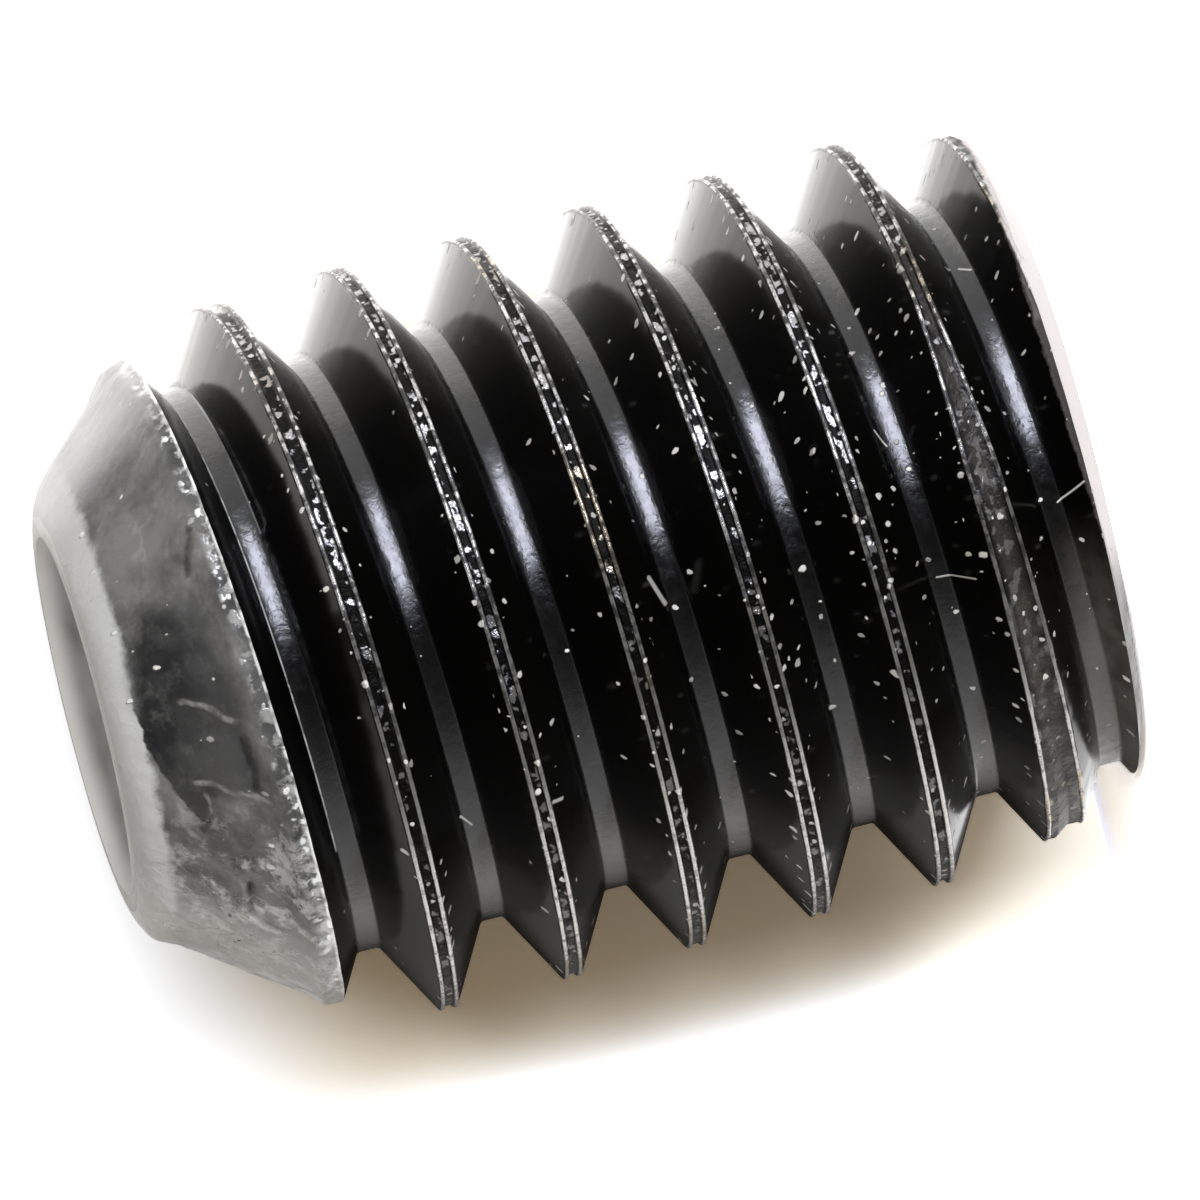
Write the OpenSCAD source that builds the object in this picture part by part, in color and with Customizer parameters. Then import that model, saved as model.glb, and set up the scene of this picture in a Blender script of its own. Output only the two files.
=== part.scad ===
// Socket set screw with a cup point: one solid piece of threaded steel.
// The screw stands on its socket end: z = 0 is that end face, +Z runs to the cup.

/* [Body] */
// Overall length, socket end face to cup rim
length = 7.9; // [6.5:0.1:16]
// Diameter over the thread crests
major_d = 5.82; // [5.3:0.02:6.4]
// Diameter at the bottom of the thread
root_d = 4.62; // [4.5:0.02:4.9]

/* [Thread] */
// Axial distance between neighbouring turns
pitch = 1; // [0.9:0.05:1.25]
// Axial width of the flat on each crest
crest_w = 0.13; // [0.1:0.01:0.2]
// Direction around the axis at which a crest crosses the socket end plane
thread_start = -94; // [-180:1:180]

/* [Socket end] */
// Diameter of the flat end face inside the chamfer
end_face_d = 4.66; // [4.2:0.02:5]
// Axial height of the chamfer around the end face
end_chamfer_h = 0.16; // [0.1:0.02:0.4]
// Height below which the crests are not filled out
end_taper_h = 1; // [0.6:0.05:1.5]
// Diameter that the crests taper to at the end plane
end_crest_d = 5.4; // [5.2:0.02:5.7]
// Width across the flats of the hexagon socket
socket_af = 3; // [2.5:0.05:3.3]
// Depth of the hexagon, from the end face to the start of its conical floor
socket_depth = 3.5; // [2.5:0.1:3.8]
// Diameter of the chamfer at the mouth of the socket
socket_mouth_d = 3.6; // [3.5:0.05:4]
// Full angle of the cone at the floor of the socket
socket_floor_angle = 120; // [100:5:140]

/* [Cup point] */
// Diameter of the cup at its edge
cup_d = 2.86; // [2.4:0.02:3]
// Full angle of the cone inside the cup
cup_angle = 120; // [110:5:140]
// Width of the narrow flat around the cup
cup_rim_w = 0.06; // [0.04:0.01:0.1]
// Radius of the rounded shoulder between that flat and the point cone
shoulder_r = 0.55; // [0.3:0.05:0.7]
// Angle of the point cone to the axis
point_angle = 39; // [35:1:50]

/* [Hidden] */

// Thread flanks stand at half of 60 degrees to the plane across the axis
flank_half_angle = 30;
// Straight steps in one turn of the thread
steps_per_turn = 40;
// How far the raw ridge reaches above the crests and into the core
ridge_over = 0.05;
ridge_sink = 0.08;
// How far a cutting solid reaches past the face that it opens
cut_clear = 0.5;
// Straight steps that round the shoulder
shoulder_steps = 6;
// Sides of the turned form, of the cup, and of the round cuts in the socket
form_sides = 96;
cup_sides = 64;
socket_sides = 48;
hex_sides = 6;
major_r = major_d / 2;
root_r = root_d / 2;
rim_r = cup_d / 2 + cup_rim_w;
// The end taper's radius where the chamfer meets it
end_crest_r = end_crest_d / 2;
chamfer_top_r = end_crest_r + (major_r - end_crest_r) * end_chamfer_h / end_taper_h;
// The shoulder turns from the flat rim into the cone, and ends at this radius and depth
shoulder_turn = 90 - point_angle;
cone_top_r = rim_r + shoulder_r * sin(shoulder_turn);
cone_top_drop = shoulder_r * (1 - cos(shoulder_turn));
cone_h = (major_r - cone_top_r) / tan(point_angle);

// Axial width of the ridge at radius r
function ridge_w(r) = crest_w + 2 * (major_r - r) * tan(flank_half_angle);

// Cross-section of the ridge as [radius, height from the middle of the ridge]
function ridge_section(inner_r, outer_r) = [
    [inner_r, -ridge_w(inner_r) / 2],
    [outer_r, -ridge_w(outer_r) / 2],
    [outer_r, ridge_w(outer_r) / 2],
    [inner_r, ridge_w(inner_r) / 2]
];

// The helical ridge, longer than the screw at both ends
module ridge() {
    section = ridge_section(root_r - ridge_sink, major_r + ridge_over);
    corners = len(section);
    turns = ceil(length / pitch) + 2;
    rings = turns * steps_per_turn;
    points = [
        for (i = [0:rings])
            let (turn = i / steps_per_turn - 1, angle = thread_start + turn * 360)
            for (corner = section)
                [corner[0] * cos(angle), corner[0] * sin(angle), corner[1] + turn * pitch]
    ];
    sides = [
        for (i = [0:rings - 1], j = [0:corners - 1])
            let (a = i * corners + j, b = i * corners + (j + 1) % corners)
            for (face = [[a, b, b + corners], [a, b + corners, a + corners]])
                face
    ];
    first_end = [for (j = [corners - 1:-1:0]) j];
    last_end = [for (j = [0:corners - 1]) rings * corners + j];
    polyhedron(points = points, faces = concat(sides, [first_end, last_end]), convexity = 10);
}

// Outline of the shoulder as [radius, height], from the cone up to the flat rim
function shoulder_outline() = [
    for (i = [shoulder_steps:-1:0])
        let (turn = shoulder_turn * i / shoulder_steps)
            [rim_r + shoulder_r * sin(turn), length - shoulder_r * (1 - cos(turn))]
];

// The outer form that bounds the thread: end chamfer and taper, crest cylinder, point cone, shoulder
module envelope() {
    rotate_extrude($fn = form_sides)
        polygon(concat(
            [
                [0, 0],
                [end_face_d / 2, 0],
                [chamfer_top_r, end_chamfer_h],
                [major_r, end_taper_h],
                [major_r, length - cone_top_drop - cone_h]
            ],
            shoulder_outline(),
            [[0, length]]
        ));
}

// The hexagon socket, open at z = 0, with its mouth chamfer and conical floor
module socket() {
    corner_r = socket_af / 2 / cos(180 / hex_sides);
    floor_h = socket_af / 2 / tan(socket_floor_angle / 2);
    mouth_r = socket_mouth_d / 2;
    translate([0, 0, -cut_clear])
        cylinder(r = corner_r, h = socket_depth + cut_clear, $fn = hex_sides);
    translate([0, 0, socket_depth])
        cylinder(r1 = socket_af / 2, r2 = 0, h = floor_h, $fn = socket_sides);
    translate([0, 0, -cut_clear])
        cylinder(r1 = mouth_r + cut_clear, r2 = 0, h = mouth_r + cut_clear, $fn = socket_sides);
}

// The conical cup, open at the other end
module cup() {
    depth = cup_d / 2 / tan(cup_angle / 2);
    over_r = cut_clear * tan(cup_angle / 2);
    translate([0, 0, length - depth])
        cylinder(r1 = 0, r2 = cup_d / 2 + over_r, h = depth + cut_clear, $fn = cup_sides);
}

module set_screw() {
    color("dimgray")
        difference() {
            intersection() {
                envelope();
                union() {
                    cylinder(r = root_r, h = length, $fn = form_sides);
                    ridge();
                }
            }
            socket();
            cup();
        }
}

set_screw();
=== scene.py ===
from math import atan2, ceil, cos, degrees, exp, hypot, pi, radians, sin, tan, tau

import bpy
from mathutils import Matrix, Vector, noise


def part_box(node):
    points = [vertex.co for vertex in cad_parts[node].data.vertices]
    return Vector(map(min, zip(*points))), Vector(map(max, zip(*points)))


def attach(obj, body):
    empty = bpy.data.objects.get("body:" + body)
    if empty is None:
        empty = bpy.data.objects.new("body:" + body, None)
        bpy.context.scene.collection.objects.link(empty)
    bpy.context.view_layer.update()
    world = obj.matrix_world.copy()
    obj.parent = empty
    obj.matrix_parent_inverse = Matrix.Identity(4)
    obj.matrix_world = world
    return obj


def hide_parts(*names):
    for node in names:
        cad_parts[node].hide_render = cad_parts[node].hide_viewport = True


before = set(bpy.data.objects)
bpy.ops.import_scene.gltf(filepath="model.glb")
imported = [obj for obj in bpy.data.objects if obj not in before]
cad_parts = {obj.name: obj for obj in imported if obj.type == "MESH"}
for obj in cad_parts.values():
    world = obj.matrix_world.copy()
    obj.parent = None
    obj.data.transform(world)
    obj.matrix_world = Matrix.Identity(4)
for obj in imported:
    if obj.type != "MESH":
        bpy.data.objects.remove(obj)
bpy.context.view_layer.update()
print("frame loaded")

noise.seed_set(1)    # vector noise would take the time as its seed

# The screw is modelled in millimetres, and brought to metres when it is finished
mm = 0.001
weldDistance = 0.0005
fineWeldDistance = 0.0003
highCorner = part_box("set_screw")[1]
screwLength = highCorner.z / mm
crestRadius = highCorner.x / mm


def setMode(mode):
    bpy.ops.object.mode_set(mode=mode)


def deselectAll():
    if bpy.context.object and bpy.context.object.mode != "OBJECT":
        setMode("OBJECT")
    bpy.ops.object.select_all(action="DESELECT")


def makeActive(obj):
    deselectAll()
    obj.select_set(True)
    bpy.context.view_layer.objects.active = obj


def applyModifier(obj, kind, **settings):
    makeActive(obj)
    modifier = obj.modifiers.new(kind.title(), kind)
    for key, value in settings.items():
        setattr(modifier, key, value)
    bpy.ops.object.modifier_apply(modifier=modifier.name)


def drawOutline(name, points):
    # One point is pulled along the outline, in the plane through the axis
    deselectAll()
    bpy.ops.mesh.primitive_plane_add(size=1)
    obj = bpy.context.object
    obj.name = name
    setMode("EDIT")
    bpy.ops.mesh.select_all(action="SELECT")
    bpy.ops.mesh.merge(type="CENTER")
    bpy.ops.transform.translate(value=(points[0][0], 0, points[0][1]))
    for here, there in zip(points, points[1:]):
        step = (there[0] - here[0], 0, there[1] - here[1])
        bpy.ops.mesh.extrude_region_move(TRANSFORM_OT_translate={"value": step})
    setMode("OBJECT")
    return obj


def weldAndFaceOut(obj, distance):
    makeActive(obj)
    setMode("EDIT")
    bpy.ops.mesh.select_all(action="SELECT")
    bpy.ops.mesh.remove_doubles(threshold=distance)
    bpy.ops.mesh.normals_make_consistent(inside=False)
    setMode("OBJECT")


def spin(obj, steps, **settings):
    applyModifier(obj, "SCREW", axis="Z", angle=tau, steps=steps, render_steps=steps, **settings)


def cutWith(obj, cutter, operation):
    applyModifier(obj, "BOOLEAN", object=cutter, operation=operation, solver="MANIFOLD")
    bpy.data.objects.remove(cutter)


def arcPoints(centre, radius, startAngle, endAngle, steps):
    points = []
    for i in range(steps + 1):
        angle = radians(startAngle + (endAngle - startAngle) * i / steps)
        points.append((centre[0] + radius * cos(angle), centre[1] + radius * sin(angle)))
    return points


def roundCorner(before, corner, after, radius, steps):
    # The corner of an outline, replaced by an arc that meets both its sides
    corner = Vector(corner)
    toBefore = (Vector(before) - corner).normalized()
    toAfter = (Vector(after) - corner).normalized()
    halfAngle = toBefore.angle(toAfter) / 2
    centre = corner + (toBefore + toAfter).normalized() * radius / sin(halfAngle)
    first = corner + toBefore * radius / tan(halfAngle) - centre
    last = corner + toAfter * radius / tan(halfAngle) - centre
    points = []
    for i in range(steps + 1):
        spoke = first.lerp(last, i / steps).normalized() * radius
        points.append(tuple(centre + spoke))
    return points


def pointsBetween(start, end, pieces):
    start, end = Vector(start), Vector(end)
    return [tuple(start.lerp(end, i / pieces)) for i in range(1, pieces)]


def smooth(value, start, end):
    t = min(max((value - start) / (end - start), 0), 1)
    return t * t * (3 - 2 * t)


def readCurve(points, x):
    # Straight lines between the points, level beyond them
    if x <= points[0][0]:
        return points[0][1]
    for (x0, y0), (x1, y1) in zip(points, points[1:]):
        if x <= x1:
            return y0 + (y1 - y0) * (x - x0) / (x1 - x0)
    return points[-1][1]


# The thread: one rolled turn, wound up the screw
threadValues = {
    "pitch": 1.0,
    "rootRadius": 2.31,
    "crestWidth": 0.13,
    "flankAngle": 30,  # each flank to the plane across the axis
    "startAngle": -94,  # where a crest crosses the socket end plane
    "lipRadius": 0.019,  # the two lips that rolling leaves along a crest
    "seamDepth": 0.032,  # the groove between the lips
    "seamFloor": 0.024,  # half the width of that groove's floor
    "rootFillet": 0.035,
    "stepsPerTurn": 330,
    "spareTurns": 2,
    # how much of the crest isn't filled out, by the height of the crest
    "crestLoss": [(0, 0.195), (0.2, 0.19), (0.7, 0.17), (0.95, 0.11), (1.03, 0), (5.75, 0), (6.2, 0.045)],
    "lipTilt": 0.045,  # the worn crest leans to the socket end by this much each way
    "lipZone": 0.07,  # how deep below the crest the lips and their groove reach
    "lipRough": 0.004,
    "seamRough": 0.01,
    "seamFill": 0.018,  # how much shallower the groove of the worn crest is
    "flankTolerance": 0.006,  # how far a face of a flank may lie off it
}


def halfThreadOutline(v):
    # From the middle of a crest to the middle of the next root
    slope = tan(radians(v["flankAngle"]))
    halfCrest = v["crestWidth"] / 2
    lip = (crestRadius - v["lipRadius"], halfCrest - v["lipRadius"] * slope)
    fillet = v["rootFillet"]
    filletHeight = halfCrest + (crestRadius - v["rootRadius"] + fillet) * slope
    flankTurn = 90 - v["flankAngle"]
    return (
        [(crestRadius - v["seamDepth"], v["seamFloor"])]
        + arcPoints(lip, v["lipRadius"], -75, flankTurn, 5)
        + arcPoints((v["rootRadius"] + fillet, filletHeight), fillet, 180 + flankTurn, 180, 2)
        + [(v["rootRadius"], v["pitch"] / 2)]
    )


def crestNear(co):
    # The height of the crest nearest to a point, at the point's own angle, and its radius
    rise = (degrees(atan2(co.y, co.x)) - threadValues["startAngle"]) / 360
    turn = round(co.z / threadValues["pitch"] - rise)
    return (rise + turn) * threadValues["pitch"], hypot(co.x, co.y)


def crestLoss(crestHeight, side):
    loss = readCurve(threadValues["crestLoss"], crestHeight)
    worn = min(loss / threadValues["crestLoss"][0][1], 1) if crestHeight < 2 else 0
    return loss - side * threadValues["lipTilt"] * worn, worn


def moveTo(vertex, radius, height):
    scale = radius / hypot(vertex.co.x, vertex.co.y)
    vertex.co = (vertex.co.x * scale, vertex.co.y * scale, height)


def shapeCrests(thread, v):
    # Crests near the ends slide down their flanks, and every lip is a little uneven
    slope = tan(radians(v["flankAngle"]))
    for vertex in thread.data.vertices:
        crestHeight, radius = crestNear(vertex.co)
        if radius < crestRadius - v["lipZone"]:
            continue
        offset = vertex.co.z - crestHeight
        side = 1 if offset > 0 else -1
        loss, worn = crestLoss(crestHeight, side)
        onFloor = abs(offset) < v["seamFloor"] * 1.3
        height = vertex.co.z + side * loss * slope * (0.3 if onFloor else 1)
        grain = noise.fractal(vertex.co * 5, 0.7, 2.0, 2)
        if onFloor:
            radius += v["seamFill"] * worn + grain * v["seamRough"] * (1 + worn)
        else:
            radius += grain * v["lipRough"] * (1 + 2 * worn)
        moveTo(vertex, min(radius - loss, crestRadius), height)


def makeThread(v):
    half = halfThreadOutline(v)
    turn = [(radius, -height) for radius, height in reversed(half)] + half
    crestHeight = (-v["startAngle"] / 360 % 1 - v["spareTurns"]) * v["pitch"]
    thread = drawOutline("grubScrew", [(radius, height + crestHeight) for radius, height in turn])
    turns = ceil(screwLength / v["pitch"]) + 2 * v["spareTurns"]
    spin(thread, v["stepsPerTurn"], screw_offset=v["pitch"], iterations=turns)
    weldAndFaceOut(thread, weldDistance)
    shapeCrests(thread, v)
    for closeTop in (False, True):
        closeEnd(thread, closeTop)
    weldAndFaceOut(thread, weldDistance)
    return thread


def closeEnd(thread, closeTop):
    # The open edge at one end is drawn in to a point on the axis
    makeActive(thread)
    setMode("EDIT")
    bpy.ops.mesh.select_mode(type="VERT")
    bpy.ops.mesh.select_all(action="DESELECT")
    bpy.ops.mesh.select_non_manifold(
        extend=False, use_wire=False, use_boundary=True, use_multi_face=False,
        use_non_contiguous=False, use_verts=False,
    )
    setMode("OBJECT")
    for vertex in thread.data.vertices:
        if vertex.select and (vertex.co.z > screwLength / 2) != closeTop:
            vertex.select = False
    for edge in thread.data.edges:
        edge.select = all(thread.data.vertices[i].select for i in edge.vertices)
    setMode("EDIT")
    bpy.ops.mesh.extrude_edges_move()
    bpy.ops.mesh.merge(type="CENTER")
    setMode("OBJECT")


# The outer form: socket end chamfer, point cone, shoulder and cup
pointValues = {
    "coneAngle": 39,  # to the axis
    "cupRadius": 1.43,
    "rimWidth": 0.06,
    "shoulderRadius": 0.55,
    "cupAngle": 60,  # half the cone inside the cup
    "cupEdgeRadius": 0.02,
    "endFaceRadius": 2.33,
    "endChamferRise": 0.4,
    "endEdgeRadius": 0.03,
    "outside": 0.15,  # how far this form stands outside the crests
    "flatRadius": 2.3,  # where distances around the cone are measured
    "steps": 520,
    "coneRings": 54,
}

# How the point's surface departs from a true cone. Angles are in degrees around the axis,
# heights in millimetres from the socket end
wearValues = {
    "footHeight": 6.3,  # the cone has no wear below this
    "start": (6.32, 6.46),  # heights between which it sets in
    "calm": (0.14, 0.03),  # distances from the cup's plane between which it dies out
    "fullSide": -27,  # the side where the cone stands fullest
    "fullLean": [(7.1, 0.12), (7.75, 0)],  # height, radial millimetres
    "leanLean": [(6.48, -0.25), (6.8, -0.16), (7.6, -0.075), (7.8, 0)],
    # the first crest, pushed up by rolling: height of the crest, how proud it stands
    "ridge": [
        (6.5, 0), (6.68, 0.04), (6.74, 0.1), (6.9, 0.08), (7.0, 0.07), (7.19, 0.04), (7.45, 0.02), (7.6, 0),
    ],
    "ridgeBelow": 0.06,  # from the middle of the crest towards the socket end
    "ridgeWidth": 0.085,
    "ridgeFades": (7.3, 7.6),
    "ridgeRagged": 0.35,
    "lumps": 0.012,
    "grain": 0.004,
    # the outline of the dark scale that still covers part of the cone
    "scale": [
        (-97, 7.5), (-104, 7.63), (-116, 7.69), (-127, 7.66), (-135, 7.55), (-141, 7.46),
        (-146, 7.34), (-142, 7.28), (-138, 7.2), (-137, 7.05), (-138, 6.9), (-128, 6.9),
        (-116, 6.93), (-104, 7.04), (-99, 7.25),
    ],
    # a plate of thinner scale inside it
    "thinScale": [(-117, 7.42), (-119, 7.1), (-127, 6.98), (-136, 6.97), (-136, 7.3), (-128, 7.45)],
    # raised edges of flakes, each a path of (angle, height)
    "flakes": [
        [(-118, 7.36), (-120, 7.2), (-121, 7.12), (-124, 7.0)],
        [(-135, 7.38), (-136, 7.24), (-137, 7.13), (-138, 7.0), (-139, 6.89)],
        [(-138, 7.32), (-145, 7.3)],
        [(-162, 7.32), (-168, 7.33), (-173, 7.31), (-176, 7.24)],
        [(-159, 7.17), (-165, 7.17), (-171, 7.18), (-176, 7.24)],
        [(-182, 7.28), (-176, 7.17), (-172, 7.1), (-173, 6.96)],
        [(-141, 7.52), (-147, 7.5), (-150, 7.42)],
    ],
    # cuts under them, sunk into the surface and painted dark: painted shade in the cuts
    "grooves": [
        [(-159, 7.11), (-165, 7.12), (-169, 7.13), (-171, 7.03), (-172, 6.94)],
        [(-127, 6.98), (-133, 6.94), (-137, 6.96)],
        [(-143, 7.3), (-147, 7.38)],
        [(-89, 6.98), (-95, 7.06)],
    ],
    "markedSide": (-215, -60),  # the angles between which scale, flakes and cuts lie
    "scaleHeight": 0.01,
    "flakeWidth": 0.034,
    "flakeHeight": 0.013,
    "grooveWidth": 0.042,
    "grooveDepth": 0.035,
    # shallow hollows: angle, height, half width, depth
    "hollows": [
        (-185, 7.2, 0.1, 0.03), (-183, 6.95, 0.12, 0.03), (-165, 7.05, 0.12, 0.02), (-150, 7.4, 0.12, 0.012),
        (-106, 7.1, 0.1, 0.012), (-66, 7.1, 0.06, 0.02), (-57, 7.16, 0.05, 0.02), (-75, 7.13, 0.05, 0.015),
    ],
}


def onSkin(angle, height):
    # The cone's surface laid flat, in millimetres
    v = pointValues
    return Vector((radians(angle) * v["flatRadius"], height / cos(radians(v["coneAngle"]))))


def nearestOnPath(place, path):
    nearest = 9.0
    for a, b in zip(path, path[1:]):
        along = (place - a).dot(b - a) / (b - a).length_squared
        nearest = min(nearest, (place - a.lerp(b, min(max(along, 0), 1))).length)
    return nearest


def depthInside(place, outline):
    # Distance to the edge of a closed outline, positive inside it
    inside = False
    for a, b in zip(outline, outline[1:] + outline[:1]):
        if (a.y > place.y) != (b.y > place.y):
            crossing = (b.x - a.x) * (place.y - a.y) / (b.y - a.y) + a.x
            inside ^= place.x < crossing
    nearest = nearestOnPath(place, outline + outline[:1])
    return nearest if inside else -nearest


def laidFlat(paths):
    return [[onSkin(angle, height) for angle, height in path] for path in paths]


# A place without marks: far outside the scale, and far from any edge, in millimetres
unmarked = {"scale": -0.3, "thinScale": -0.3, "flake": 0.0, "groove": 0.0, "edge": 0.5}
flatFlakes = laidFlat(wearValues["flakes"])
flatGrooves = laidFlat(wearValues["grooves"])
flatScale, flatThinScale = laidFlat([wearValues["scale"], wearValues["thinScale"]])


def skinMarks(co):
    # How far a place lies inside the scales, how near it is to a flake, a groove and the edge of
    # the ridge, and how proud the ridge stands there
    v = wearValues
    angle = degrees(atan2(co.y, co.x))
    if angle > 60:
        angle -= 360
    place = onSkin(angle, co.z)
    crestHeight, radius = crestNear(co)
    fromRidge = co.z - crestHeight + v["ridgeBelow"]
    marks = {**unmarked, "ridge": 0.0}
    if crestHeight > v["footHeight"]:
        slope = tan(radians(threadValues["flankAngle"]))
        flank = threadValues["crestWidth"] / 2 + (crestRadius - radius) * slope
        marks["edge"] = min(abs(co.z - crestHeight + flank) + smooth(crestHeight, 7.25, 7.6) * 0.5, 0.5)
        marks["ridge"] = exp(-(fromRidge / v["ridgeWidth"]) ** 2)
        marks["ridge"] *= 1 - smooth(crestHeight, *v["ridgeFades"])
    marks["ridge"] *= readCurve(v["ridge"], crestHeight)
    if v["markedSide"][0] < angle < v["markedSide"][1]:
        marks["scale"] = max(depthInside(place, flatScale), unmarked["scale"])
        marks["thinScale"] = max(depthInside(place, flatThinScale), unmarked["thinScale"])
        ragged = noise.noise_vector(co * 7) * 0.03 + noise.noise_vector(co * 22) * 0.018
        flake = min(nearestOnPath(place + ragged.xy, path) for path in flatFlakes)
        groove = min(nearestOnPath(place + ragged.xy, path) for path in flatGrooves)
        marks["flake"] = exp(-(flake / v["flakeWidth"]) ** 2)
        marks["groove"] = exp(-(groove / v["grooveWidth"]) ** 2)
    return marks, place, angle


def wearPoint(form, v):
    full = Vector((cos(radians(v["fullSide"])), sin(radians(v["fullSide"]))))
    hollows = [(onSkin(angle, height), width, depth) for angle, height, width, depth in v["hollows"]]
    for vertex in form.data.vertices:
        co = vertex.co
        radius = hypot(co.x, co.y)
        if co.z < v["footHeight"] or radius < pointValues["cupRadius"] + 0.1:
            continue
        marks, place, angle = skinMarks(co)
        towardsFull = (Vector((co.x, co.y)).normalized().dot(full) + 1) / 2
        lean = readCurve(v["fullLean"], co.z) * towardsFull
        lean += readCurve(v["leanLean"], co.z) * (1 - towardsFull)
        ragged = 1 + v["ridgeRagged"] * noise.fractal(co * 6, 0.7, 2.0, 3)
        rise = marks["ridge"] * ragged
        rise += marks["flake"] * v["flakeHeight"] - marks["groove"] * v["grooveDepth"]
        rise += v["scaleHeight"] * smooth(marks["scale"], -0.02, 0.02)
        rise += noise.fractal(co * 3.1, 0.7, 2.0, 4) * v["lumps"]
        rise += noise.fractal(co * 17, 0.6, 2.0, 2) * v["grain"]
        for centre, width, depth in hollows:
            rise -= depth * exp(-((place - centre).length / width) ** 2)
        calm = 1 - smooth(co.z, *(screwLength - distance for distance in v["calm"]))
        start = smooth(co.z, *v["start"])
        moveTo(vertex, radius + (lean + rise) * calm * start, co.z)


def makeOuterForm(v):
    big = crestRadius + v["outside"]
    chamferTop = (big, (big - v["endFaceRadius"]) * v["endChamferRise"])
    turn = 90 - v["coneAngle"]
    rimRadius = v["cupRadius"] + v["rimWidth"]
    shoulder = (rimRadius + v["shoulderRadius"] * tan(radians(turn / 2)), screwLength)
    coneDrop = (big - shoulder[0]) / tan(radians(v["coneAngle"]))
    coneFoot = (big, screwLength - coneDrop)
    endEdge = (v["endFaceRadius"], 0)
    cupEdge = (v["cupRadius"], screwLength)
    cupFloor = (0, screwLength - v["cupRadius"] / tan(radians(v["cupAngle"])))
    shoulderPoints = roundCorner(coneFoot, shoulder, cupEdge, v["shoulderRadius"], 14)
    outline = (
        [(0, 0)]
        + roundCorner((0, 0), endEdge, chamferTop, v["endEdgeRadius"], 3)
        + [chamferTop, coneFoot]
        + pointsBetween(coneFoot, shoulderPoints[0], v["coneRings"])
        + shoulderPoints
        + roundCorner((rimRadius, screwLength), cupEdge, cupFloor, v["cupEdgeRadius"], 4)
        + [cupFloor]
    )
    form = drawOutline("outerForm", outline)
    spin(form, v["steps"], screw_offset=0, iterations=1, use_merge_vertices=True)
    weldAndFaceOut(form, weldDistance)
    wearPoint(form, wearValues)
    return form


# The hexagon socket
socketValues = {
    "acrossFlats": 3.0,
    "depth": 3.5,
    "mouthRadius": 1.8,
    "floorAngle": 60,  # half the cone at the floor
    "cornerRadius": 0.04,
    "below": 0.5,  # how far the cutters reach out of the mouth
    "sides": 96,
}


def addCone(sides, radius, height, base):
    deselectAll()
    bpy.ops.mesh.primitive_cone_add(
        vertices=sides, radius1=radius, radius2=0, depth=height, location=(0, 0, base + height / 2),
    )
    bpy.ops.object.transform_apply()
    return bpy.context.object


def socketCutters(v):
    corner = v["acrossFlats"] / 2 / cos(radians(30))
    tall = v["depth"] + v["below"]
    deselectAll()
    bpy.ops.mesh.primitive_cylinder_add(
        vertices=6, radius=corner, depth=tall, location=(0, 0, tall / 2 - v["below"]),
        rotation=(0, 0, radians(30)),
    )
    hexagon = bpy.context.object
    bpy.ops.object.transform_apply()
    for edge in hexagon.data.edges:
        a, b = (hexagon.data.vertices[i].co for i in edge.vertices)
        edge.select = abs(a.z - b.z) > tall / 2
    setMode("EDIT")
    bpy.ops.mesh.select_mode(type="EDGE")
    bpy.ops.mesh.bevel(offset=v["cornerRadius"], segments=3, affect="EDGES")
    setMode("OBJECT")

    floorRadius = v["acrossFlats"] / 2
    floorHeight = floorRadius / tan(radians(v["floorAngle"]))
    mouthHeight = v["mouthRadius"] + v["below"]
    return [
        hexagon,
        addCone(v["sides"], floorRadius, floorHeight, v["depth"]),
        addCone(v["sides"], mouthHeight, mouthHeight, -v["below"]),
    ]


def markSurface(obj):
    # Per-point values that the finishes read
    crestDepth = crestRadius - threadValues["rootRadius"]
    marksByName = {name: [] for name in ("crest", "seam", *unmarked)}
    for vertex in obj.data.vertices:
        crestHeight, radius = crestNear(vertex.co)
        offset = vertex.co.z - crestHeight
        loss, worn = crestLoss(crestHeight, 1 if offset > 0 else -1)
        marksByName["crest"].append(1 - (crestRadius - loss - radius) / crestDepth)
        inSeam = abs(offset) < 0.031 + 0.04 * worn and radius > crestRadius - 0.35
        marksByName["seam"].append(1.0 if inSeam else 0.0)
        onPoint = vertex.co.z > 6.4 and radius > pointValues["cupRadius"] + 0.03
        marks = skinMarks(vertex.co)[0] if onPoint else unmarked
        for name in unmarked:
            marksByName[name].append(marks[name])
    for name, values in marksByName.items():
        attribute = obj.data.attributes.new(name, "FLOAT", "POINT")
        attribute.data.foreach_set("value", values)


screw = makeThread(threadValues)
print("thread wound:", len(screw.data.polygons), "faces")
cutWith(screw, makeOuterForm(pointValues), "INTERSECT")
print("ends formed:", len(screw.data.polygons), "faces")
for cutter in socketCutters(socketValues):
    cutWith(screw, cutter, "DIFFERENCE")
weldAndFaceOut(screw, fineWeldDistance)
markSurface(screw)
makeActive(screw)
bpy.ops.object.shade_smooth_by_angle(angle=radians(32))
screw.scale = (mm, mm, mm)
bpy.ops.object.transform_apply(location=False, rotation=False, scale=True)
print("socket cut:", len(screw.data.polygons), "faces")


# Nodes, and the surface effects that finishes share. Nodes and links go into the tree in building
building = {}
arcRadius = 2.6 * mm  # where distances around the screw are measured


def link(output, socket):
    building["tree"].links.new(output, socket)


def addNode(kind, inputs=None, **settings):
    node = building["tree"].nodes.new(kind)
    for key, value in settings.items():
        setattr(node, key, value)
    for key, value in (inputs or {}).items():
        socket = node.inputs[key]
        if isinstance(value, bpy.types.NodeSocket):
            link(value, socket)
        else:
            socket.default_value = value
    return node


def maths(operation, a, b=0.0, clamp=False):
    return addNode("ShaderNodeMath", {0: a, 1: b}, operation=operation, use_clamp=clamp).outputs[0]


def minus(a, b):
    return maths("SUBTRACT", a, b)


def larger(a, b):
    return maths("MAXIMUM", a, b)


def times(value, *others):
    for other in others:
        value = maths("MULTIPLY", value, other)
    return value


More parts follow.
